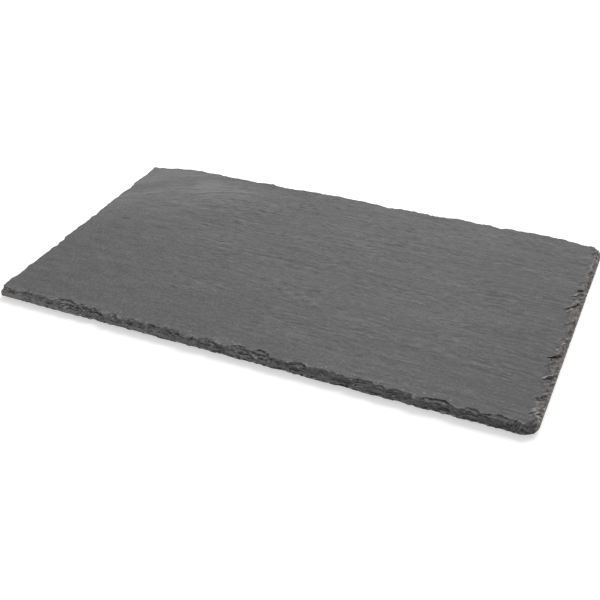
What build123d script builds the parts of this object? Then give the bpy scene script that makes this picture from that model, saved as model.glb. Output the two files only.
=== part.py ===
from build123d import *
import os
from itertools import cycle
from math import sqrt

# Slate serving board: a split slab of slate with a hand-dressed edge, on four stick-on rubber feet.
# Millimetres, +Z up. The origin is on the table under the middle of the slab, +X runs along its length,
# and -Y is its front.

# Slab
SLAB_LENGTH = 320.0
SLAB_WIDTH = 180.0
SLAB_THICKNESS = 6.0

# Corners of the slab, seen from above
FRONT_LEFT_ROUND = 3.0
FRONT_RIGHT_ROUND = 9.0
BACK_RIGHT_ROUND = 11.0
BACK_LEFT_ROUND = 2.0
# Near the back left corner the back edge falls away towards the front
FALL_LENGTH = 35.0
FALL_DEPTH = 7.5
FALL_ROUND = 80.0

# Feet: moulded rubber pads, each on a disc of double-sided adhesive
FOOT_DIAMETER = 12.0
FOOT_HEIGHT = 2.0
FOOT_TAPER = 0.5
FOOT_RIM_BEVEL = 0.4
FOOT_FROM_END = 26.0
FOOT_FROM_SIDE = 24.0
ADHESIVE_THICKNESS = 0.3
ADHESIVE_MARGIN = 0.5

# Dressed edge. A blow knocks a scoop-shaped flake off the top of the edge. Each run of the outline is
# walked anticlockwise, and each blow in its list is (distance to the next blow, bite into the top face,
# height of the side that it leaves standing, less than nothing where it bites through to the underside).
# A list starts again where a run is longer than it.
FRONT_BLOWS = [
    (14, 3.0, 2.4), (9, 3.6, 3.0), (11, 2.6, 2.6), (14, 3.0, 1.8), (14, 4.6, 2.2), (12, 3.2, -0.5),
    (15, 2.8, 2.5), (8, 3.2, 3.2), (14, 2.4, 2.1), (16, 3.4, 1.6), (8, 2.2, 3.4), (10, 3.2, 2.2),
    (14, 2.8, 1.8), (13, 5.0, 2.5), (9, 3.8, 2.9), (9, 3.4, 3.3), (12, 2.8, 1.9), (11, 3.2, 2.4),
    (13, 2.6, -0.3), (12, 3.8, 2.2), (7, 2.6, 3.4), (13, 3.2, 2.0), (7, 2.0, 3.2), (17, 2.6, 1.7),
    (11, 3.8, 2.7), (26, 2.4, 1.9),
]
RIGHT_BLOWS = [
    (14, 2.4, 2.8), (11, 3.0, 2.4), (8, 2.4, 3.2), (9, 2.8, 2.9), (10, 2.4, 3.1), (8, 2.8, 3.4),
    (6, 2.2, 3.6), (22, 2.4, 2.2), (8, 2.0, 3.4), (15, 3.0, 2.6), (13, 3.2, 3.0), (13, 3.0, -0.4),
    (12, 2.6, 3.2), (10, 2.4, 2.6), (12, 2.6, 2.9), (10, 3.0, 3.0),
]
BACK_BLOWS = [
    (22, 5.0, 1.4), (11, 3.6, 2.1), (12, 3.2, 1.6), (11, 3.4, 2.3), (14, 3.2, 1.2), (14, 3.8, 1.9),
    (13, 3.0, 1.5), (23, 4.8, -0.6), (37, 4.4, 1.3), (18, 3.0, 2.0), (23, 2.6, 1.1), (27, 4.6, 1.7),
    (28, 4.4, -0.4), (13, 4.4, 2.2), (19, 3.0, 1.5),
]
FALL_BLOWS = [(14, 2.6, 1.4), (13, 2.4, 2.0), (10, 2.0, 1.8)]
LEFT_BLOWS = [
    (12, 2.4, 1.6), (14, 3.2, 1.2), (16, 3.0, 2.0), (18, 2.8, 1.4), (10, 2.6, 2.4), (22, 3.8, -0.5),
    (18, 2.6, 1.8), (11, 3.8, 1.7), (11, 3.4, 2.2), (14, 2.6, 1.6), (16, 2.8, 1.2), (12, 2.4, 2.0),
]
# A flake is this much wider than the distance between blows
FLAKE_OVERLAP = 1.7
# A blow on each corner: flake width, bite and height left standing
CORNER_FLAKE = (11.0, 2.6, 1.9)

# Ledges, where a thin layer has split off the top face: (place along the run, width, bite, layer thickness)
FRONT_LEDGES = [
    (46, 22, 4.8, 1.0), (173, 15, 5.2, 0.8), (195, 16, 4.0, 1.4), (218, 17, 3.4, 0.9), (270, 22, 3.8, 1.0),
    (304, 27, 3.6, 0.8),
]
BACK_LEDGES = [(66, 16, 4.6, 0.9), (138, 20, 5.4, 0.8), (213, 18, 5.0, 1.1)]
LEFT_LEDGES = [(34, 15, 4.0, 0.9), (118, 17, 4.6, 0.8)]
LEDGE_HEADROOM = 1.0

# Clefts on the right, each a steep slanting wall with a ramp down to its foot:
# (place along the run, reach from the edge, depth of the wall's foot, slant from straight across the edge)
RIGHT_CLEFTS = [
    (16.2, 8.5, 1.9, 61), (26.5, 6.5, 2.6, 53), (29.5, 13.0, 2.0, 54), (40, 5.5, 2.6, 52), (43, 8.0, 2.6, 56),
    (45.5, 12.5, 2.1, 50), (63.6, 13.0, 2.3, 44), (114, 16.0, 2.2, 53), (124.5, 11.5, 2.1, 47),
    (128.1, 9.5, 1.8, 37), (139.6, 12.0, 1.9, 65),
]
CLEFT_RAMP = 12.0

# Heights and corners that follow from the sizes
UNDERSIDE = FOOT_HEIGHT + ADHESIVE_THICKNESS
TOP = UNDERSIDE + SLAB_THICKNESS
RIGHT = SLAB_LENGTH / 2
BACK = SLAB_WIDTH / 2
CORNERS = {
    "front_left": ((-RIGHT, -BACK), FRONT_LEFT_ROUND),
    "front_right": ((RIGHT, -BACK), FRONT_RIGHT_ROUND),
    "back_right": ((RIGHT, BACK), BACK_RIGHT_ROUND),
    "fall_start": ((FALL_LENGTH - RIGHT, BACK), FALL_ROUND),
    "back_left": ((-RIGHT, BACK - FALL_DEPTH), BACK_LEFT_ROUND),
}
# Runs of the outline: start, end, blows, ledges and clefts
RUNS = [
    ("front_left", "front_right", FRONT_BLOWS, FRONT_LEDGES, []),
    ("front_right", "back_right", RIGHT_BLOWS, [], RIGHT_CLEFTS),
    ("back_right", "fall_start", BACK_BLOWS, BACK_LEDGES, []),
    ("fall_start", "back_left", FALL_BLOWS, [], []),
    ("back_left", "front_left", LEFT_BLOWS, LEFT_LEDGES, []),
]


def spaced(blows, length):
    """Each blow's place along a run of this length, with its flake's width, bite and height left standing."""
    reached = 0.0
    for pitch, bite, standing in cycle(blows):
        if reached + pitch / 2 > length:
            return
        yield reached + pitch / 2, pitch * FLAKE_OVERLAP, bite, standing
        reached += pitch


def strike(place, width, bite, standing):
    """Cut one flake: the ball through its two ends on the edge, its bite and its foot on the side.

    The ball is turned so that its seam faces away from the slab.
    """
    drop = SLAB_THICKNESS - standing
    outside = (width**2 / 4 - bite**2) / (2 * bite)
    above = (width**2 / 4 - drop**2) / (2 * drop)
    radius = sqrt(outside**2 + above**2 + width**2 / 4)
    with Locations((place, -outside, above)):
        Sphere(radius, rotation=(0, 0, -90), mode=Mode.SUBTRACT)


def split_off(place, width, bite, layer):
    """Cut one ledge: a layer of the top face taken off inside an arc, with the disc's seam turned away."""
    radius = (width**2 / 4 + bite**2) / (2 * bite)
    with Locations((place, bite - radius, -layer)):
        Cylinder(
            radius, layer + LEDGE_HEADROOM, rotation=(0, 0, -90),
            align=(Align.CENTER, Align.CENTER, Align.MIN), mode=Mode.SUBTRACT,
        )


def cleave(place, reach, foot, slant):
    """Cut one cleft: a cone that lies across the edge, with its flat end as the steep wall."""
    above = (reach**2 - foot**2) / (2 * foot)
    facing = Vector(-1, 0, 0).rotate(Axis.Z, slant)
    with Locations(Plane(origin=(place, 0, above), x_dir=(0, 0, 1), z_dir=facing)):
        Cone(
            above + foot, above, CLEFT_RAMP,
            align=(Align.CENTER, Align.CENTER, Align.MIN), mode=Mode.SUBTRACT,
        )


with BuildPart() as slate_slab:
    with BuildSketch(Plane.XY.offset(UNDERSIDE)) as outline:
        with BuildLine():
            Polyline(*[point for point, rounding in CORNERS.values()], close=True)
        make_face()
        for point, rounding in CORNERS.values():
            fillet(outline.vertices().sort_by_distance((*point, UNDERSIDE))[0], radius=rounding)
    extrude(amount=SLAB_THICKNESS)
    for start, end, blows, ledges, clefts in RUNS:
        run = Edge.make_line((*CORNERS[start][0], TOP), (*CORNERS[end][0], TOP))
        with Locations(Plane(origin=run @ 0, x_dir=run % 0, z_dir=(0, 0, 1))):
            for blow in spaced(blows, run.length):
                strike(*blow)
            for ledge in ledges:
                split_off(*ledge)
            for cleft in clefts:
                cleave(*cleft)
    for corner in outline.edges().filter_by(GeomType.CIRCLE):
        middle = corner @ 0.5
        inward = corner.arc_center - middle
        across = inward.cross(Vector(0, 0, 1))
        with Locations(Plane(origin=(middle.X, middle.Y, TOP), x_dir=across, z_dir=(0, 0, 1))):
            strike(0, *CORNER_FLAKE)


def make_foot(x, y):
    """One rubber pad: a short taper with a bevelled rim, standing on the table."""
    radius = FOOT_DIAMETER / 2
    with BuildPart() as foot:
        with Locations((x, y, 0)):
            Cone(radius - FOOT_TAPER, radius, FOOT_HEIGHT, align=(Align.CENTER, Align.CENTER, Align.MIN))
        chamfer(foot.edges().group_by(Axis.Z)[0], length=FOOT_RIM_BEVEL)
    return foot


def make_adhesive(x, y):
    """One adhesive disc, between a pad and the underside of the slab."""
    with BuildPart() as disc:
        with Locations((x, y, FOOT_HEIGHT)):
            Cylinder(
                FOOT_DIAMETER / 2 - ADHESIVE_MARGIN, ADHESIVE_THICKNESS,
                align=(Align.CENTER, Align.CENTER, Align.MIN),
            )
    return disc


os.makedirs("parts", exist_ok=True)
slate_slab.part.label = "slate_slab"
export_step(slate_slab.part, "parts/slate_slab.step")

FOOT_X = RIGHT - FOOT_FROM_END
FOOT_Y = BACK - FOOT_FROM_SIDE
FOOT_PLACES = {
    "front_left": (-FOOT_X, -FOOT_Y),
    "front_right": (FOOT_X, -FOOT_Y),
    "back_left": (-FOOT_X, FOOT_Y),
    "back_right": (FOOT_X, FOOT_Y),
}
for corner_name, foot_place in FOOT_PLACES.items():
    pad = make_foot(*foot_place)
    pad.part.label = f"foot_{corner_name}"
    export_step(pad.part, f"parts/{pad.part.label}.step")
    film = make_adhesive(*foot_place)
    film.part.label = f"adhesive_{corner_name}"
    export_step(film.part, f"parts/{film.part.label}.step")
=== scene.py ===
import math
from functools import reduce

import bpy
from mathutils import Matrix, Vector


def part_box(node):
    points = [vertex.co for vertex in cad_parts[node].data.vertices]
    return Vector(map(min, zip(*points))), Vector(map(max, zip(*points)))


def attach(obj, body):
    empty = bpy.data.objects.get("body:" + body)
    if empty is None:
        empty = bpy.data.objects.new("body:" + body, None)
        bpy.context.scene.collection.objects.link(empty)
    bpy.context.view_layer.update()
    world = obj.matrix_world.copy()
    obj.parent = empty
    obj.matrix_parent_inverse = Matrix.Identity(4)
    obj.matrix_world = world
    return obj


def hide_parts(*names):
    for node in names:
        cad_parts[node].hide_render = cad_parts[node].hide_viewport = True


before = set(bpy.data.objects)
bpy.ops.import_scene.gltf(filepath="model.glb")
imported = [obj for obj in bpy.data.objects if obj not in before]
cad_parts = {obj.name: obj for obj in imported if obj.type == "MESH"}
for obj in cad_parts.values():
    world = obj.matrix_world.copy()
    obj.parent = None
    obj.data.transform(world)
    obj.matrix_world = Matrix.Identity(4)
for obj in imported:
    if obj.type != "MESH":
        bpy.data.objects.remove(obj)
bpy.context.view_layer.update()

bl_info = {
    "name": "Slate Serving Board",
    "version": (1, 0, 0),
    "blender": (4, 5, 0),
    "location": "View3D > Sidebar > Slate Board",
    "description": "Finishes a slate serving board: riven slab, rubber pads, adhesive discs and a stage",
    "category": "Add Mesh",
}

MM = 0.001
SLAB_LOW, SLAB_HIGH = (Vector(corner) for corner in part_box("slate_slab"))
PADS = sorted(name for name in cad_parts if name.startswith("foot_"))
ADHESIVES = sorted(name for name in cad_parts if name.startswith("adhesive_"))
PAD_LOW, PAD_HIGH = (Vector(corner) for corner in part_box("foot_back_right"))
PAD_PLACE = (PAD_LOW + PAD_HIGH) / 2
PAD_SIDES = 96
# A pad's tread is its one face that is larger than this
LEAST_TREAD = 10.0 * MM**2

# The relief stays this far inside the slab's box, so that thinning the mesh can't carry a point out of it
INSET = 0.06 * MM
RELIEF_LOW = SLAB_LOW + Vector((INSET, INSET, 0.0))
RELIEF_HIGH = SLAB_HIGH - Vector((INSET, INSET, INSET))
# Where the slab counts as dressed by less than this, it is one of the split faces
PLAIN_BELOW = 0.03
# Share of its faces that each part of the slab keeps when it is thinned
KEPT_FACES = {"top_faces": 0.04, "underside_faces": 0.015, "edge_faces": 0.43}
# Corners of loose triangles that are the same point, and points that the relief pressed together
SAME_POINT = 0.001 * MM
PRESSED_POINTS = 0.02 * MM

# Places on the slab are in mm from here on: x to the right, y to the back and z up from the table.
# Left of BEND_START the grain and the ridges bend to the front, by a bend times the square of the distance.
BEND_START = -70.0
GRAIN_BEND = 0.0052
SHARP_BEND = 0.0092
RIDGE_Y = 70.0
# The underside is flat this near to the middle of a pad, and has its full relief past the second distance
FLAT_BY_PAD = 7.0
RIVEN_BY_PAD = 14.0
# Ovals are a middle, a half length and a half width. Pits in the top face also have a depth from 0 to 1.
# The pale oval is part of the painted sheen of the back left corner.
PALE_OVAL = (-107.0, 70.0, 15.0, 12.0)
DENTS = (
    (-136.0, 9.0, 5.0, 1.8, 1.0), (-55.0, -37.0, 5.0, 1.6, 0.5),
    (-63.0, -50.0, 4.0, 1.6, 0.5), (145.0, -15.0, 6.0, 2.0, 0.5),
)
# Dark rows in the pale corner, by their distance behind its ridge
DARK_ROWS = (-14.5, -23.5)
STROKE_SLANT = math.radians(50.0)

# Rays by which the camera sees a thing, by itself or in metal and glass
VIEW_RAYS = ("Is Camera Ray", "Is Glossy Ray", "Is Transmission Ray")
# Distances from the board in metres between which the floor's glow grows to white
GLOW_GROWS = (0.5, 1.5)
SENSOR_WIDTH = 36.0


class Wire:
    """One output in a node tree. Arithmetic on it adds Math nodes to that tree."""

    def __init__(self, tree, socket=None):
        self.tree = tree
        self.socket = socket

    def node(self, kind, inputs=None, output=0, **settings):
        """Add a node: its settings first, then the values or wires of its inputs, by name or number."""
        node = self.tree.nodes.new(kind)
        for name, setting in settings.items():
            setattr(node, name, setting)
        for name, value in (inputs or {}).items():
            if isinstance(value, Wire):
                self.tree.links.new(value.socket, node.inputs[name])
            else:
                node.inputs[name].default_value = value
        return Wire(self.tree, node.outputs[output] if node.outputs else None)

    def math(self, operation, *values):
        return self.node("ShaderNodeMath", dict(enumerate(values)), operation=operation)

    def __add__(self, other):
        return self.math("ADD", self, other)

    def __sub__(self, other):
        return self.math("SUBTRACT", self, other)

    def __mul__(self, other):
        return self.math("MULTIPLY", self, other)

    def __truediv__(self, other):
        return self.math("DIVIDE", self, other)

    def __rsub__(self, other):
        return self.math("SUBTRACT", other, self)

    def __rtruediv__(self, other):
        return self.math("DIVIDE", other, self)

    __radd__ = __add__
    __rmul__ = __mul__

    def size(self):
        """The number without its sign."""
        return self.math("ABSOLUTE", self)

    def at_most(self, other):
        return self.math("MINIMUM", self, other)

    def at_least(self, other):
        return self.math("MAXIMUM", self, other)

    def step(self, low, high):
        """0 below low and 1 above high, smooth between them."""
        inputs = {0: self, 1: low, 2: high, 3: 0.0, 4: 1.0}
        return self.node("ShaderNodeMapRange", inputs, interpolation_type="SMOOTHSTEP")

    def terraced(self, low, high):
        """The number in steps of 1, each flat but for a smooth rise from low to high."""
        rise = self.math("FRACT", self)
        return self - rise + rise.step(low, high)

    def parts(self):
        """X, Y and Z of a vector, or the three parts of a colour."""
        split = self.node("ShaderNodeSeparateXYZ", {0: self}).socket.node
        return [Wire(self.tree, output) for output in split.outputs]

    def vector(self, x, y, z):
        return self.node("ShaderNodeCombineXYZ", {0: x, 1: y, 2: z})

    def vectors(self, operation, *values, output="Vector"):
        return self.node("ShaderNodeVectorMath", dict(enumerate(values)), output, operation=operation)

    def scaled(self, factor):
        return self.node("ShaderNodeVectorMath", {0: self, 3: factor}, operation="SCALE")

    def noise(self, x, y, z, detail=2.0, output=0):
        """Soft noise from 0 to 1 with one feature per unit, or with output 1 three of them as a colour.

        On a flat face z is a number of its own for each use, so that no two of them look alike.
        """
        inputs = {"Vector": self.vector(x, y, z), "Scale": 1.0, "Detail": detail}
        return self.node("ShaderNodeTexNoise", inputs, output)

    def cells(self, x, y, z, output=0):
        """Distance to the middle of the nearest cell, or with output 1 that cell's own colour."""
        return self.node("ShaderNodeTexVoronoi", {"Vector": self.vector(x, y, z), "Scale": 1.0}, output)

    def blurred(self, times, **settings):
        """The value of a point averaged with its neighbours' values, this many times."""
        return self.node("GeometryNodeBlurAttribute", {"Value": self, "Iterations": times}, **settings)

    def keep(self, shape, name, value, **settings):
        """Keep a value on the points or faces of a shape, under a name."""
        inputs = {"Geometry": shape, "Name": name, "Value": value}
        return self.node("GeometryNodeStoreNamedAttribute", inputs, **settings)

    def read(self, name):
        """The value kept under a name, in a paint."""
        return self.node("ShaderNodeAttribute", output="Fac", attribute_name=name)

    def place_in_mm(self):
        """X, Y and Z of the point that is painted, in mm."""
        return self.node("ShaderNodeTexCoord", output="Object").scaled(1 / MM).parts()

    def mix(self, factor, first, second):
        """A colour between two."""
        return self.node("ShaderNodeMix", {0: factor, 6: first, 7: second}, 2, data_type="RGBA")


class SlabSettings(bpy.types.PropertyGroup):
    """Sizes and colours of the slate slab."""

    grid: bpy.props.FloatProperty(
        name="Grid", description="Spacing of the points that carry the relief",
        default=0.33 * MM, min=0.25 * MM, unit="LENGTH", precision=5)
    riven_depth: bpy.props.FloatProperty(
        name="Riven Depth", description="Depth of the split relief on both faces",
        default=0.3 * MM, unit="LENGTH", precision=5)
    flake_depth: bpy.props.FloatProperty(
        name="Flake Depth", description="Depth of the larger flake scars along the dressed edge",
        default=0.9 * MM, unit="LENGTH", precision=5)
    chip_depth: bpy.props.FloatProperty(
        name="Chip Depth", description="Depth of the smaller chips along the dressed edge",
        default=0.4 * MM, unit="LENGTH", precision=5)
    layer: bpy.props.FloatProperty(
        name="Layer", description="Thickness of the layers that the dressed edge breaks into",
        default=1.0 * MM, unit="LENGTH", precision=5)
    layer_depth: bpy.props.FloatProperty(
        name="Layer Depth", description="How far the layers stand out from each other at the edge",
        default=0.9 * MM, unit="LENGTH", precision=5)
    stroke_depth: bpy.props.FloatProperty(
        name="Stroke Depth", description="Depth of the tool strokes on the right edge",
        default=0.9 * MM, unit="LENGTH", precision=5)
    waver: bpy.props.FloatProperty(
        name="Waver", description="How far the upper rim of the dressed edge wavers",
        default=6.0 * MM, unit="LENGTH", precision=5)
    step_height: bpy.props.FloatProperty(
        name="Step Height", description="Thickness of the thin layers that end on the split face",
        default=0.12 * MM, unit="LENGTH", precision=5)
    dark_slate: bpy.props.FloatVectorProperty(
        name="Dark Slate", description="Darkest streaks of the split face", subtype="COLOR", size=4,
        default=(0.0625, 0.0606, 0.0618, 1.0), min=0.0, max=1.0)
    pale_slate: bpy.props.FloatVectorProperty(
        name="Pale Slate", description="Palest streaks of the split face", subtype="COLOR", size=4,
        default=(0.2115, 0.2077, 0.2068, 1.0), min=0.0, max=1.0)
    dark_edge: bpy.props.FloatVectorProperty(
        name="Dark Edge", description="Darkest grains of the dressed edge", subtype="COLOR", size=4,
        default=(0.045, 0.044, 0.045, 1.0), min=0.0, max=1.0)
    pale_edge: bpy.props.FloatVectorProperty(
        name="Pale Edge", description="Palest grains of the dressed edge", subtype="COLOR", size=4,
        default=(0.360, 0.351, 0.349, 1.0), min=0.0, max=1.0)
    warm_edge: bpy.props.FloatVectorProperty(
        name="Warm Edge", description="Brownish grains of the right edge and the left corner",
        subtype="COLOR", size=4, default=(0.165, 0.140, 0.122, 1.0), min=0.0, max=1.0)
    fresh_edge: bpy.props.FloatVectorProperty(
        name="Fresh Edge", description="Fresh chips of the right edge", subtype="COLOR", size=4,
        default=(0.340, 0.325, 0.310, 1.0), min=0.0, max=1.0)


class PadSettings(bpy.types.PropertyGroup):
    """Sizes and colours of the rubber pads."""

    tread: bpy.props.FloatProperty(
        name="Tread", description="Width of a pad where it meets the table",
        default=11.0 * MM, unit="LENGTH", precision=5)
    rim: bpy.props.FloatProperty(
        name="Rim", description="Rounding of a pad's lower rim", default=0.4 * MM, unit="LENGTH", precision=5)
    lip: bpy.props.FloatProperty(
        name="Lip", description="Width of the ring that a pad stands on",
        default=1.6 * MM, unit="LENGTH", precision=5)
    dish: bpy.props.FloatProperty(
        name="Dish", description="Depth of the hollow inside that ring",
        default=0.3 * MM, unit="LENGTH", precision=5)
    dark_rubber: bpy.props.FloatVectorProperty(
        name="Dark Rubber", description="Clean rubber", subtype="COLOR", size=4,
        default=(0.016, 0.016, 0.017, 1.0), min=0.0, max=1.0)
    dusty_rubber: bpy.props.FloatVectorProperty(
        name="Dusty Rubber", description="Dusty rubber", subtype="COLOR", size=4,
        default=(0.060, 0.058, 0.056, 1.0), min=0.0, max=1.0)


class AdhesiveSettings(bpy.types.PropertyGroup):
    """Colours of the adhesive discs."""

    clear_film: bpy.props.FloatVectorProperty(
        name="Clear Film", description="Film where it has wetted the slate", subtype="COLOR", size=4,
        default=(0.33, 0.32, 0.29, 1.0), min=0.0, max=1.0)
    milky_film: bpy.props.FloatVectorProperty(
        name="Milky Film", description="Film with air under it", subtype="COLOR", size=4,
        default=(0.62, 0.61, 0.57, 1.0), min=0.0, max=1.0)


class StageSettings(bpy.types.PropertyGroup):
    """Camera, floor and lamp."""

    camera_place: bpy.props.FloatVectorProperty(
        name="Camera", description="Where the camera stands", subtype="TRANSLATION",
        default=(0.2014, -0.4217, 0.3047))
    camera_turn: bpy.props.FloatProperty(
        name="Turn", description="How far the camera looks to the left of straight ahead",
        default=math.radians(26.05), subtype="ANGLE")
    camera_dip: bpy.props.FloatProperty(
        name="Dip", description="How far the camera looks down", default=math.radians(34.53), subtype="ANGLE")
    camera_roll: bpy.props.FloatProperty(
        name="Roll", description="How far the camera leans to the right",
        default=math.radians(2.21), subtype="ANGLE")
    lens: bpy.props.FloatProperty(
        name="Lens", description="Focal length on a 36 mm sensor", default=55.04, unit="CAMERA")
    lamp_place: bpy.props.FloatVectorProperty(
        name="Lamp Place", description="Where the softbox hangs", subtype="TRANSLATION",
        default=(0.18, 0.66, 1.1))
    lamp_size: bpy.props.FloatProperty(
        name="Lamp Size", description="Width of the softbox", default=0.9, unit="LENGTH")
    lamp_power: bpy.props.FloatProperty(
        name="Lamp", description="Power of the softbox", default=12.8, unit="POWER")
    room_light: bpy.props.FloatProperty(
        name="Room Light", description="Strength of the light from all around", default=0.33)
    floor_size: bpy.props.FloatProperty(
        name="Floor Size", description="Width of the floor", default=8.0, unit="LENGTH")
    floor_white: bpy.props.FloatVectorProperty(
        name="Floor White", description="Colour of the floor", subtype="COLOR", size=4,
        default=(0.75, 0.75, 0.75, 1.0), min=0.0, max=1.0)
    floor_glow: bpy.props.FloatProperty(
        name="Floor Glow", description="How much of the floor's white the camera sees even in shadow",
        default=0.55)


def deselect():
    """Leave nothing selected, so that the next operator acts on one piece alone."""
    bpy.ops.object.select_all(action="DESELECT")


def merge_points(gap):
    """Merge the points of the active piece that lie closer together than this."""
    bpy.ops.object.mode_set(mode="EDIT")
    bpy.ops.mesh.select_all(action="SELECT")
    bpy.ops.mesh.remove_doubles(threshold=gap)
    bpy.ops.object.mode_set(mode="OBJECT")


def copy_of_node(node, name):
    """A copy of a CAD node's mesh in an object of its own, with its loose triangles merged."""
    deselect()
    piece = bpy.data.objects.new(name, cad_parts[node].data.copy())
    bpy.context.collection.objects.link(piece)
    piece.select_set(True)
    bpy.context.view_layer.objects.active = piece
    merge_points(SAME_POINT)
    return piece


def select_faces(piece, chosen):
    """Select the faces of a piece in edit mode for which chosen(face) is true."""
    bpy.ops.object.mode_set(mode="EDIT")
    bpy.ops.mesh.select_mode(type="FACE")
    bpy.ops.mesh.select_all(action="DESELECT")
    bpy.ops.object.mode_set(mode="OBJECT")
    piece.data.polygons.foreach_set("select", [chosen(face) for face in piece.data.polygons])
    bpy.ops.object.mode_set(mode="EDIT")


def thin(piece, attribute, share):
    """Merge the faces that a yes-or-no attribute marks, down to this share of them."""
    attributes = piece.data.attributes
    marks = [mark.value for mark in attributes[attribute].data]
    attributes.remove(attributes[attribute])
    select_faces(piece, lambda face: marks[face.index])
    bpy.ops.mesh.decimate(ratio=share)
    bpy.ops.object.mode_set(mode="OBJECT")


def mend():
    """Merge the points that the relief pressed together, and drop the faces that this leaves without area."""
    merge_points(PRESSED_POINTS)
    bpy.ops.object.mode_set(mode="EDIT")
    bpy.ops.mesh.select_all(action="SELECT")
    bpy.ops.mesh.dissolve_degenerate(threshold=PRESSED_POINTS)
    bpy.ops.object.mode_set(mode="OBJECT")


def new_paint(name):
    """A material, a wire to start its nodes from, and its Principled shader."""
    material = bpy.data.materials.new(name)
    material.use_nodes = True
    tree = material.node_tree
    return material, Wire(tree), tree.nodes["Principled BSDF"]


def feed(shader, **wires):
    """Link wires to a shader's inputs, with spaces for the underscores of their names."""
    for name, wire in wires.items():
        wire.tree.links.new(wire.socket, shader.inputs[name.replace("_", " ")])


def bent_forward(x, bend):
    """How far in mm a line has bent to the front, left of where its bend starts."""
    left = (x - BEND_START).at_most(0.0)
    return left * left * bend


def grain_lines(wire, x, y):
    """Distance across the grain in mm. It runs along the slab, and bends to the front at the back left."""
    bend = bent_forward(x, GRAIN_BEND) * y.step(0.0, 65.0)
    sway = wire.noise(x / 60.0, y / 50.0, 0.0, detail=1.0) * 6.0
    ripple = wire.noise(x / 15.0, y / 10.0, 2.0) * 4.0
    return y + bend + sway + ripple


def off_front_left(x, across):
    """Place in mm on a slanting line that starts at the front left corner."""
    return x + across * 0.7


def grain_shows(x, across):
    """How plainly the grain shows, from 0 to 1: less along the front, and least at the front left."""
    off_corner = off_front_left(x, across).step(-140.0, -50.0) * 0.93 + 0.07
    return off_corner * (across.step(-85.0, -35.0) * 0.35 + 0.65)


def split_streaks(wire, x, across):
    """Streaks along the grain, from about -1 to 1. Their strength comes and goes."""
    streaks = wire.noise(x / 34.0, across / 2.2, 5.0, detail=1.0) - 0.5
    hairs = wire.noise(x / 6.0, across / 1.3, 9.0, detail=1.0) - 0.5
    strength = wire.noise(x / 45.0, across / 14.0, 13.0).step(0.3, 0.7) + 0.5
    return (streaks * 2.0 + hairs * 2.8) * strength * grain_shows(x, across)


def split_layers(wire, x, across):
    """Height of the split face in thin layers, which steps where one of them ends."""
    return (wire.noise(x / 45.0, across / 8.0, 25.0, detail=3.0) * 8.0).terraced(0.35, 0.65)


def swells(wire, x, across, seed):
    """Broad swells of a split face, from 0 to 1."""
    return wire.noise(x / 75.0, across / 30.0, seed, detail=3.0)


def behind_ridge(wire, x, y, bend):
    """Distance in mm behind a low ridge that bends round the back left corner."""
    waver = wire.noise(x / 9.0, 0.0, 17.0) * 2.0 - 1.0
    return y + bent_forward(x, bend) - RIDGE_Y + waver


def ridge_lines(wire, x, y):
    """Two broken ridges at the back left, from 0 to 1, and the painted shade in front of them."""
    breaks = wire.noise(x / 11.0, y / 11.0, 33.0).step(0.38, 0.58)
    reaches = {GRAIN_BEND: 1.0 - x.step(-126.0, -118.0), SHARP_BEND: x.step(-112.0, -104.0)}
    lines, ridge_shade = 0.0, 0.0
    for bend, reach in reaches.items():
        ridge = behind_ridge(wire, x, y, bend)
        shown = reach * (1.0 - x.step(-75.0, -62.0)) * breaks
        lines = lines + ridge.step(-0.6, 0.6) * (1.0 - ridge.step(0.6, 3.5)) * shown
        ridge_shade = ridge_shade + ridge.step(-3.0, -1.2) * (1.0 - ridge.step(-1.2, 0.0)) * shown
    return lines, ridge_shade


def oval(x, y, middle_x, middle_y, half_length, half_width):
    """1 in the middle of an oval, and 0 from its rim on."""
    from_x = (x - middle_x) / half_length
    from_y = (y - middle_y) / half_width
    return 1.0 - (from_x * from_x + from_y * from_y).step(0.0, 1.0)


def dents(x, y):
    """Small pits in the top face, from 0 to 1."""
    return reduce(Wire.at_least, [oval(x, y, *place) * depth for *place, depth in DENTS])


def pale_corner(wire, x, y, across):
    """Painted sheen round the back left corner, with painted highlights on its ridges, painted shade in front
    of them, patches and darker rows.
    """
    ridge = behind_ridge(wire, x, y, GRAIN_BEND)
    # Painted sheen, paler towards the ridge and behind it.
    corner_sheen = ridge.step(-55.0, 6.0) * 0.5 + ridge.step(18.0, 24.0) * 0.35 - ridge.step(7.0, 12.0) * 0.3
    patches = wire.noise(x / 16.0, across / 5.0, 21.0) - 0.5
    lines, ridge_shade = ridge_lines(wire, x, y)
    rows = 0.0
    for row in DARK_ROWS:
        rows = rows + (1.0 - (ridge - row).size().step(0.2, 1.4))
    rows = rows * wire.noise(x / 7.0, across / 9.0, 37.0).step(0.4, 0.6)
    # Painted highlights on the ridges, and painted shade in front of them.
    pale = corner_sheen + oval(x, y, *PALE_OVAL) * 0.5 + patches + lines - ridge_shade * 0.75 - rows * 0.55
    return pale * (1.0 - x.step(-110.0, -35.0))


def spots(wire, x, y, z, pick, rim, extra=0.0):
    """Spots from 0 to 1 in the middle of some cells.

    A cell has one where its own number, and what is extra there, passes pick. The spot fades over rim,
    which is two distances from the middle of the cell.
    """
    number = wire.cells(x, y, z, output=1).parts()[0] + extra
    return number.step(*pick) * (1.0 - wire.cells(x, y, z).step(*rim))


def mica_flecks(wire, x, y):
    """Bright flecks of mica on the split face, more of them at the front right."""
    more = (1.0 - y.step(-80.0, -20.0)) * x.step(0.0, 80.0) * 0.12
    return spots(wire, x / 2.6, y / 2.6, 0.0, (0.85, 1.0), (0.12, 0.3), more)


def dark_nicks(wire, x, across):
    """Painted shade of short splits along the grain."""
    return spots(wire, x / 9.0, across / 2.0, 3.0, (0.8, 0.95), (0.15, 0.4)) * grain_shows(x, across)


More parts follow.
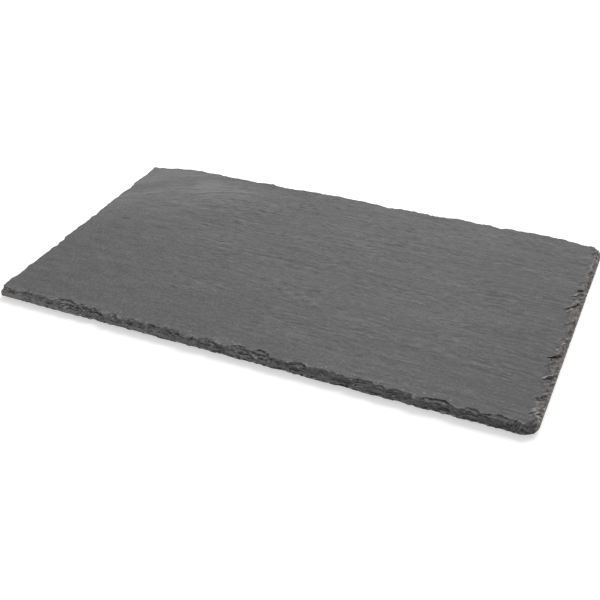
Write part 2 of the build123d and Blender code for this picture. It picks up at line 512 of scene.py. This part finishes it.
def rim_highlights(wire, x, y):
    """Painted highlights on the split face along the front rim, in groups of small ticks."""
    groups = (1.0 - y.step(-87.0, -81.0)) * wire.noise(x / 9.0, y / 9.0, 51.0, detail=1.0).step(0.4, 0.56)
    return groups * spots(wire, x / 2.2, y / 1.5, 53.0, (0.65, 0.85), (0.2, 0.55))


def front_edge(y):
    """1 along the front, and 0 away from it."""
    return 1.0 - y.step(-86.0, -72.0)


def left_edge(x):
    """1 along the left side, and 0 away from it."""
    return 1.0 - x.step(-158.0, -150.0)


def back_edge(y):
    """1 along the back, and 0 away from it."""
    return y.step(80.0, 88.0)


def left_corner(x, y):
    """1 at the front left corner, and 0 away from it."""
    return (1.0 - x.step(-160.0, -151.0)) * (1.0 - y.step(-90.0, -74.0))


def clean_break(x, y, z):
    """1 on the upper half of the edge at the front right, where it broke off cleanly, and 0 elsewhere."""
    return front_edge(y) * x.step(25.0, 65.0) * (1.0 - x.step(140.0, 150.0)) * z.step(4.5, 6.0)


def stroke_lines(x, y):
    """Distance in mm along the tool strokes, and across them."""
    along = x * math.cos(STROKE_SLANT) + y * math.sin(STROKE_SLANT)
    beside = y * math.cos(STROKE_SLANT) - x * math.sin(STROKE_SLANT)
    return along, beside


def tool_strokes(wire, x, y, z):
    """Slanting strokes that the dressing tool left on the right edge, from about -1 to 1."""
    along, beside = stroke_lines(x, y)
    strokes = wire.noise(along / 8.0, beside / 1.3, z / 3.0, detail=1.0) - 0.5
    return strokes * 2.4 * x.step(145.0, 151.0)


def where_dressed(wire, x, y, z, facing_up, on_top):
    """1 on the dressed edge and its ragged rim, and 0 on the split faces."""
    below_top = SLAB_HIGH.z / MM - z
    above_underside = z - SLAB_LOW.z / MM
    side = below_top.step(0.05, 0.4) * above_underside.step(0.05, 0.4)
    frayed = (tool_strokes(wire, x, y, z) + x.step(146.0, 158.0) * 1.2 - 1.0).step(0.0, 0.3) * on_top
    dressed = side.at_least(1.0 - facing_up.size().step(0.85, 0.99)).at_least(frayed)
    wide = front_edge(y) * (1.0 - x.step(-60.0, -20.0)) * 0.25
    ragged = dressed.blurred(24) + wire.noise(x / 3.0, y / 3.0, 47.0) * 0.8 - 0.4 + wide
    ragged = ragged.step(0.28, 0.4) * on_top * (1.0 - clean_break(x, y, z) * 0.8)
    return dressed.at_least(ragged).blurred(3)


def face_lift(wire, x, y, on_top, settings):
    """How far the split relief raises a point of the underside, or sinks one of the top face."""
    across = grain_lines(wire, x, y)
    streaks = split_streaks(wire, x, across)
    lines = ridge_lines(wire, x, y)[0]
    sunk = 0.55 + swells(wire, x, across, 0.0) * 0.5 - streaks * 0.14 - lines * 0.4 + dents(x, y) * 0.7
    pad_x = x.size() - PAD_PLACE.x / MM
    pad_y = y.size() - PAD_PLACE.y / MM
    off_pads = (pad_x * pad_x + pad_y * pad_y).step(FLAT_BY_PAD**2, RIVEN_BY_PAD**2)
    raised = (swells(wire, x, across, 40.0) + 0.2) * off_pads
    return (raised * (1.0 - on_top) - sunk * on_top) * settings.riven_depth


def edge_shift(wire, normal, x, y, z, settings):
    """How flake scars, chips, uneven layers and tool strokes move a point of the dressed edge."""
    quiet = (x.step(144.0, 151.0) * 0.6).at_least(left_corner(x, y) * 0.8)
    lively = 1.0 - quiet.at_least(left_edge(x).at_least(back_edge(y)) * 0.55)
    clean = clean_break(x, y, z)
    upward = normal.parts()[2].step(0.1, 0.4)
    bends = [bend - 0.5 for bend in wire.noise(x / 7.0, y / 7.0, z / 4.0, output=1).parts()]
    bent_x, bent_y, bent_z = (axis + bend * 3.0 for axis, bend in zip((x, y, z), bends))

    flakes = wire.cells(bent_x / 7.0, bent_y / 7.0, bent_z / 4.0)
    flakes = (flakes * flakes * 1.6 - 0.5) * lively * (1.0 - clean * 0.4)
    chips = wire.cells(bent_x / 2.6, bent_y / 2.6, bent_z / 1.4)
    chips = (chips * chips * 1.6 - 0.5) * (2.0 - z.step(2.8, 5.0))
    rough = wire.noise(x / 0.9, y / 0.9, z / 0.6) - 0.5
    small = (chips + rough) * (1.0 - clean * 0.8)
    scars = flakes * settings.flake_depth + small * lively * settings.chip_depth
    scars = scars - tool_strokes(wire, x, y, z) * upward * settings.stroke_depth

    level = z / settings.layer * MM
    layers = wire.cells(bent_x / 9.0, bent_y / 9.0, level, output=1).parts()
    ledges = (layers[0] - 0.4) * lively * (1.0 - clean * 0.6) * settings.layer_depth
    outward = wire.vectors("MULTIPLY", normal, (1.0, 1.0, 0.0))
    level = level + wire.noise(x / 10.0, y / 10.0, 3.0) * 3.0
    level = level + wire.cells(bent_x / 14.0, bent_y / 14.0, 0.0, output=1).parts()[0] * 2.0
    treads = wire.noise(x / 13.0, y / 13.0, 31.0).step(0.35, 0.6) * upward * lively
    terrace = (level.terraced(0.3, 0.55) - level) * treads * settings.layer

    waver = z.step(5.0, 6.8) * lively * settings.waver
    rim = wire.vector(bends[0] * waver, bends[1] * waver, terrace)
    return wire.vectors("ADD", wire.vectors("ADD", normal.scaled(scars), outward.scaled(ledges)), rim)


def drawn_out(x, y, z):
    """How far in mm the left and back rims move out to their mean lines, which makes them straighter."""
    upper = z.step(4.0, 6.5)
    along_left = y.step(-89.0, -84.0) * (1.0 - y.step(68.0, 78.0)) * (1.0 - x.step(-156.0, -147.0))
    along_back = x.step(-115.0, -105.0) * (1.0 - x.step(140.0, 150.0)) * y.step(78.0, 86.0)
    return (x + 157.7) * along_left * upper * 0.6, (88.0 - y) * along_back * upper * 0.4


def add_relief(slab, settings):
    """Roughen the slab, and keep on it what its paint and its thinning need to know."""
    tree = bpy.data.node_groups.new("slate_relief", "GeometryNodeTree")
    for direction in ("INPUT", "OUTPUT"):
        tree.interface.new_socket("Geometry", in_out=direction, socket_type="NodeSocketGeometry")
    wire = Wire(tree)
    place = wire.node("GeometryNodeInputPosition")
    normal = wire.node("GeometryNodeInputNormal")
    x, y, z = place.scaled(1 / MM).parts()
    facing_up = normal.parts()[2]
    on_top = facing_up.step(0.0, 0.5)
    shape = wire.node("NodeGroupInput")
    shape = wire.keep(shape, "dressed", where_dressed(wire, x, y, z, facing_up, on_top))
    dressed = wire.node("GeometryNodeInputNamedAttribute", {"Name": "dressed"})

    lift = face_lift(wire, x, y, on_top, settings) * (1.0 - dressed)
    moved = wire.vectors("ADD", place, edge_shift(wire, normal, x, y, z, settings).scaled(dressed))
    left, back = drawn_out(x, y, z)
    moved = wire.vectors("ADD", moved, wire.vector(left * -MM, back * MM, lift))
    moved = wire.vectors("MINIMUM", wire.vectors("MAXIMUM", moved, RELIEF_LOW), RELIEF_HIGH)
    shape = wire.node("GeometryNodeSetPosition", {"Geometry": shape, "Position": moved})

    # How hollow each point is, which the edge paint turns into painted shade in hollows and painted
    # highlights on rims.
    to_neighbours = wire.vectors("SUBTRACT", place.blurred(5, data_type="FLOAT_VECTOR"), place)
    hollow = wire.vectors("DOT_PRODUCT", to_neighbours, normal, output="Value") / MM
    shape = wire.keep(shape, "hollow", hollow)
    shape = wire.keep(shape, "steep", 1.0 - facing_up.size())
    plain = wire.math("LESS_THAN", dressed, PLAIN_BELOW)
    marks = {
        "top_faces": plain * on_top,
        "underside_faces": plain * (1.0 - on_top),
        "edge_faces": 1.0 - plain,
    }
    for name, mark in marks.items():
        shape = wire.keep(shape, name, mark, data_type="BOOLEAN", domain="FACE")
    wire.node("NodeGroupOutput", {"Geometry": shape})
    modifier = slab.modifiers.new("relief", "NODES")
    modifier.node_group = tree
    bpy.ops.object.modifier_apply(modifier="relief")


def edge_tone(wire, x, y, z):
    """Tone of the dressed edge: darker on treads, painted shade in hollows and tool strokes, painted
    highlights on rims and along the back, and along the front darker to the right.
    """
    foot = 1.0 - z.step(2.5, 4.5)
    low = 1.0 - z.step(4.5, 7.5)
    uneven = 1.0 - clean_break(x, y, z) * 0.6
    specks = (wire.noise(x / 1.8, y / 1.8, z / 1.1, detail=3.0) - 0.5) * 1.1 * uneven
    specks = specks + (wire.noise(x / 2.6, y / 2.6, z / 1.4, detail=1.0) - 0.5) * foot * 2.6
    layers = (wire.noise(x / 9.0, y / 9.0, z / 0.7) - 0.5) * uneven
    # Painted shade in the hollows of the edge, and painted highlights on its sharp rims.
    cavity_shading = wire.read("hollow") * (wire.noise(x / 4.0, y / 4.0, z / 2.0).step(0.3, 0.6) * 1.05 + 0.37)
    grit = wire.cells(x / 1.8, y / 3.0, z / 1.2, output=1).parts()[1]
    grit = (grit + grit.step(0.82, 0.92) - 0.62) * foot * front_edge(y)
    steep = wire.read("steep")
    drift = x.at_most(0.0) * (0.0019 + low * 0.0004) + x.at_least(0.0) * (0.0003 + low * 0.0016)
    drift = drift * front_edge(y) * (steep * 0.7 + 0.3)
    # The back edge is paler, a painted highlight of the light from behind. The left edge is darker and its
    # front corner paler.
    sides = back_edge(y) * 0.12 - left_edge(x) * 0.07 + left_corner(x, y) * 0.1
    tone = 0.175 + steep * 0.23 + specks + layers * 0.3 - cavity_shading + grit * 0.75
    # Painted shade in the grooves of the tool strokes.
    return tone + sides - drift - tool_strokes(wire, x, y, z) * 0.3


def broken_slate(wire, x, y, z, settings):
    """Colour of the dressed edge: brown, dark and fresh chips on the right, and brown at the left corner."""
    right = (x + (y + 72.0).at_most(0.0) * 0.4).step(147.0, 155.0)
    left = left_corner(x, y)
    browns, pales, darks = wire.cells(x / 1.2, y / 1.4, z, output=1).parts()
    brown = (browns + left * 0.3).step(0.3, 0.65) * (right * x.step(154.5, 159.5)).at_least(left)
    dark = darks.step(0.76, 0.88) * 0.4 - pales * 0.3 + 0.15
    along, beside = stroke_lines(x, y)
    fresh = wire.cells(along / 2.6, beside / 0.8, z, output=1).parts()[1] - y.step(-80.0, -40.0) * 0.07
    fresh = fresh.step(0.83, 0.9) * right * x.step(149.0, 154.0)
    tone = edge_tone(wire, x, y, z) - dark * right
    colour = wire.mix(tone, tuple(settings.dark_edge), tuple(settings.pale_edge))
    colour = wire.mix(brown * 0.85, colour, tuple(settings.warm_edge))
    return wire.mix(fresh * 0.8, colour, tuple(settings.fresh_edge))


def slate_paint(settings):
    """Split slate: fine streaks along the grain, painted sheen at the back left, and a grainy dressed edge.
    """
    material, wire, shader = new_paint("split_slate")
    x, y, z = wire.place_in_mm()
    across = grain_lines(wire, x, y)
    shows = grain_shows(x, across)
    streaks = split_streaks(wire, x, across)
    broad = swells(wire, x, across, 0.0) - 0.5
    grains = wire.noise(x / 1.2, y / 1.2, z / 1.2) - 0.5
    tone = 0.375 + streaks * 0.31 + grains * (1.2 - shows * 0.3) + broad * (shows * 0.2 + 0.12)
    # Painted sheen at the back left corner, with painted highlights on its ridges and painted shade in front
    # of them.
    tone = tone + pale_corner(wire, x, y, across) * 0.58
    # Mica flecks, and painted highlights in small ticks along the front rim.
    tone = tone + mica_flecks(wire, x, y) * 0.45 + rim_highlights(wire, x, y) * 1.5
    # Painted shade in the pits and in the short splits.
    tone = tone - dents(x, y) * 0.3 - dark_nicks(wire, x, across) * 0.28
    # The face is paler to the back, a painted sheen, and darker to the right and at the front left
    tone = tone + y.step(20.0, 90.0) * 0.03 - x * 0.0004 - x.step(60.0, 150.0) * 0.11
    tone = tone - (1.0 - off_front_left(x, across).step(-190.0, -60.0)) * 0.08
    split = wire.mix(tone, tuple(settings.dark_slate), tuple(settings.pale_slate))
    colour = wire.mix(wire.read("dressed"), split, broken_slate(wire, x, y, z, settings))

    steps = (wire.noise(x / 60.0, across / 20.0, 29.0).step(0.35, 0.65) * 0.7 + 0.3) * shows
    steps = split_layers(wire, x, across) * steps * (settings.step_height / MM)
    height = steps + streaks * 0.04 + grains * 0.1
    bump = wire.node("ShaderNodeBump", {"Height": height, "Strength": 1.0, "Distance": MM})
    feed(shader, Base_Color=colour, Roughness=0.62 + grains * 0.3, Normal=bump)
    shader.inputs["Specular IOR Level"].default_value = 0.3
    return material


class SLATE_OT_slab(bpy.types.Operator):
    """Make the riven slab with its dressed edge"""

    bl_idname = "slate_board.slab"
    bl_label = "Riven Slab"

    def execute(self, context):
        settings = context.scene.slate_slab
        slab = copy_of_node("slate_slab", "riven_slab")
        grid = slab.modifiers.new("grid", "REMESH")
        grid.mode = "VOXEL"
        grid.voxel_size = settings.grid
        bpy.ops.object.modifier_apply(modifier="grid")
        add_relief(slab, settings)
        for faces, share in KEPT_FACES.items():
            thin(slab, faces, share)
        mend()
        bpy.ops.object.shade_smooth_by_angle(angle=math.radians(32.0))
        slab.data.materials.clear()
        slab.data.materials.append(slate_paint(settings))
        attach(slab, "root")
        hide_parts("slate_slab")
        return {"FINISHED"}


def rubber_paint(settings):
    """Moulded rubber, with a little dust in its fine grain."""
    material, wire, shader = new_paint("moulded_rubber")
    x, y, z = wire.place_in_mm()
    grain = wire.noise(x / 0.35, y / 0.35, z / 0.35) - 0.5
    dust = wire.noise(x / 3.0, y / 3.0, z / 3.0, detail=4.0) - 0.5
    tone = 0.35 + dust * 1.6 + grain * 0.5
    bump = wire.node("ShaderNodeBump", {"Height": grain, "Strength": 0.6, "Distance": 0.05 * MM})
    colour = wire.mix(tone, tuple(settings.dark_rubber), tuple(settings.dusty_rubber))
    feed(shader, Base_Color=colour, Roughness=0.7 + dust * 0.4, Normal=bump)
    shader.inputs["Specular IOR Level"].default_value = 0.4
    return material


def pad_model(settings):
    """One tapered rubber pad with a rounded rim and a dished tread, where the back right pad stands."""
    across = PAD_HIGH.x - PAD_LOW.x
    deselect()
    bpy.ops.mesh.primitive_cylinder_add(
        vertices=PAD_SIDES, radius=across / 2, depth=PAD_HIGH.z - PAD_LOW.z, location=PAD_PLACE)
    model = bpy.context.object
    bpy.ops.object.transform_apply(location=True, rotation=False, scale=False)
    foot = Vector((PAD_PLACE.x, PAD_PLACE.y, PAD_LOW.z))
    taper = settings.tread / across
    select_faces(model, lambda face: face.normal.z < -0.9)
    bpy.ops.transform.resize(value=(taper, taper, 1.0), center_override=foot)
    bpy.ops.mesh.bevel(offset=settings.rim, segments=5, affect="EDGES")
    select_faces(model, lambda face: face.normal.z < -0.99 and face.area > LEAST_TREAD)
    bpy.ops.mesh.inset(thickness=settings.lip)
    bpy.ops.mesh.inset(thickness=settings.dish, depth=-settings.dish)
    bpy.ops.mesh.inset(thickness=settings.lip)
    bpy.ops.object.mode_set(mode="OBJECT")
    bpy.ops.object.shade_smooth_by_angle(angle=math.radians(30.0))
    model.data.materials.append(rubber_paint(settings))
    return model


class SLATE_OT_pads(bpy.types.Operator):
    """Make the four rubber pads"""

    bl_idname = "slate_board.pads"
    bl_label = "Rubber Pads"

    def execute(self, context):
        model = pad_model(context.scene.slate_pads)
        for node in PADS:
            pad = bpy.data.objects.new(node.replace("foot", "rubber_pad"), model.data.copy())
            context.collection.objects.link(pad)
            low, high = (Vector(corner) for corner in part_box(node))
            pad.data.transform(Matrix.Translation((low + high) / 2 - PAD_PLACE))
            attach(pad, "root")
            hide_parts(node)
        bpy.data.objects.remove(model)
        return {"FINISHED"}


def film_paint(settings):
    """Adhesive film, clear where it has wetted the slate and milky elsewhere."""
    material, wire, shader = new_paint("adhesive_film")
    x, y, z = wire.place_in_mm()
    milky = wire.noise(x / 1.8, y / 1.8, z / 0.6, detail=3.0).step(0.4, 0.6)
    colour = wire.mix(milky, tuple(settings.clear_film), tuple(settings.milky_film))
    feed(shader, Base_Color=colour, Roughness=0.28 + milky * 0.3)
    return material


class SLATE_OT_adhesive(bpy.types.Operator):
    """Finish the adhesive discs between the pads and the slab"""

    bl_idname = "slate_board.adhesive"
    bl_label = "Adhesive Discs"

    def execute(self, context):
        film = film_paint(context.scene.slate_adhesive)
        for node in ADHESIVES:
            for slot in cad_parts[node].material_slots:
                slot.material = film
        return {"FINISHED"}


def in_view(wire):
    """1 for what the camera sees, also in metal and glass, and 0 for the light that falls on the board."""
    rays = wire.node("ShaderNodeLightPath").socket.node.outputs
    return reduce(Wire.at_least, [Wire(wire.tree, rays[name]) for name in VIEW_RAYS])


def floor_paint(settings):
    """Plain white floor. The camera sees part of its white as a glow, so that the shadow on it stays pale.

    The glow grows far from the board, so that no horizon shows.
    """
    material, wire, shader = new_paint("floor_white")
    shader.inputs["Base Color"].default_value = settings.floor_white
    shader.inputs["Roughness"].default_value = 1.0
    shader.inputs["Specular IOR Level"].default_value = 0.0
    place = wire.node("ShaderNodeTexCoord", output="Object")
    far = wire.vectors("LENGTH", place, output="Value").step(*GLOW_GROWS)
    glow = in_view(wire) * (far * (1.0 - settings.floor_glow) + settings.floor_glow)
    glow = wire.node("ShaderNodeEmission", {"Strength": glow})
    both = wire.node("ShaderNodeAddShader", {0: Wire(wire.tree, shader.outputs[0]), 1: glow})
    feed(material.node_tree.nodes["Material Output"], Surface=both)
    return material


def lay_floor(settings):
    """A wide plain floor under the board."""
    deselect()
    bpy.ops.mesh.primitive_plane_add(size=settings.floor_size)
    floor = bpy.context.object
    floor.name = "floor"
    floor.data.materials.append(floor_paint(settings))


def light_room(scene, settings):
    """Soft light from all around, which the camera sees as white."""
    scene.world = bpy.data.worlds.new("studio")
    scene.world.use_nodes = True
    tree = scene.world.node_tree
    background = tree.nodes["Background"]
    background.inputs["Color"].default_value = (1.0, 1.0, 1.0, 1.0)
    feed(background, Strength=in_view(Wire(tree)) * (1.0 - settings.room_light) + settings.room_light)


def hang_softbox(settings):
    """A square lamp that points at the middle of the board."""
    bpy.ops.object.light_add(type="AREA", location=settings.lamp_place)
    lamp = bpy.context.object
    lamp.name = "softbox"
    lamp.data.size = settings.lamp_size
    lamp.data.energy = settings.lamp_power
    lamp.rotation_euler = (-lamp.location).to_track_quat("-Z", "Y").to_euler()


def set_camera(scene, settings):
    """The camera at the photograph's viewing angle."""
    camera = bpy.data.objects.new("camera", bpy.data.cameras.new("camera"))
    scene.collection.objects.link(camera)
    camera.data.lens = settings.lens
    camera.data.sensor_width = SENSOR_WIDTH
    turn, dip, roll = settings.camera_turn, settings.camera_dip, settings.camera_roll
    ahead = Vector((-math.sin(turn) * math.cos(dip), math.cos(turn) * math.cos(dip), -math.sin(dip)))
    level = ahead.cross(Vector((0, 0, 1))).normalized()
    up = level.cross(ahead) * math.cos(roll) + level * math.sin(roll)
    camera.matrix_world = Matrix((ahead.cross(up), up, -ahead)).transposed().to_4x4()
    camera.location = settings.camera_place
    scene.camera = camera


class SLATE_OT_stage(bpy.types.Operator):
    """Lay the floor, light the room and set the camera"""

    bl_idname = "slate_board.stage"
    bl_label = "Stage"

    def execute(self, context):
        settings = context.scene.slate_stage
        lay_floor(settings)
        light_room(context.scene, settings)
        hang_softbox(settings)
        set_camera(context.scene, settings)
        context.scene.view_settings.view_transform = "Standard"
        return {"FINISHED"}


class SLATE_PT_board(bpy.types.Panel):
    """Sizes, colours and makers of the board's pieces"""

    bl_idname = "SLATE_PT_board"
    bl_label = "Slate Board"
    bl_space_type = "VIEW_3D"
    bl_region_type = "UI"
    bl_category = "Slate Board"

    def draw(self, context):
        for name, settings, operator in PIECES:
            box = self.layout.box()
            for setting in settings.__annotations__:
                box.prop(getattr(context.scene, name), setting)
            box.operator(operator.bl_idname)


PIECES = (
    ("slate_slab", SlabSettings, SLATE_OT_slab),
    ("slate_pads", PadSettings, SLATE_OT_pads),
    ("slate_adhesive", AdhesiveSettings, SLATE_OT_adhesive),
    ("slate_stage", StageSettings, SLATE_OT_stage),
)


def register():
    for name, settings, operator in PIECES:
        bpy.utils.register_class(settings)
        bpy.utils.register_class(operator)
        setattr(bpy.types.Scene, name, bpy.props.PointerProperty(type=settings))
    bpy.utils.register_class(SLATE_PT_board)


def unregister():
    bpy.utils.unregister_class(SLATE_PT_board)
    for name, settings, operator in reversed(PIECES):
        delattr(bpy.types.Scene, name)
        bpy.utils.unregister_class(operator)
        bpy.utils.unregister_class(settings)


def main():
    register()
    bpy.ops.slate_board.slab()
    bpy.ops.slate_board.pads()
    bpy.ops.slate_board.adhesive()
    bpy.ops.slate_board.stage()


if __name__ == "__main__":
    main()
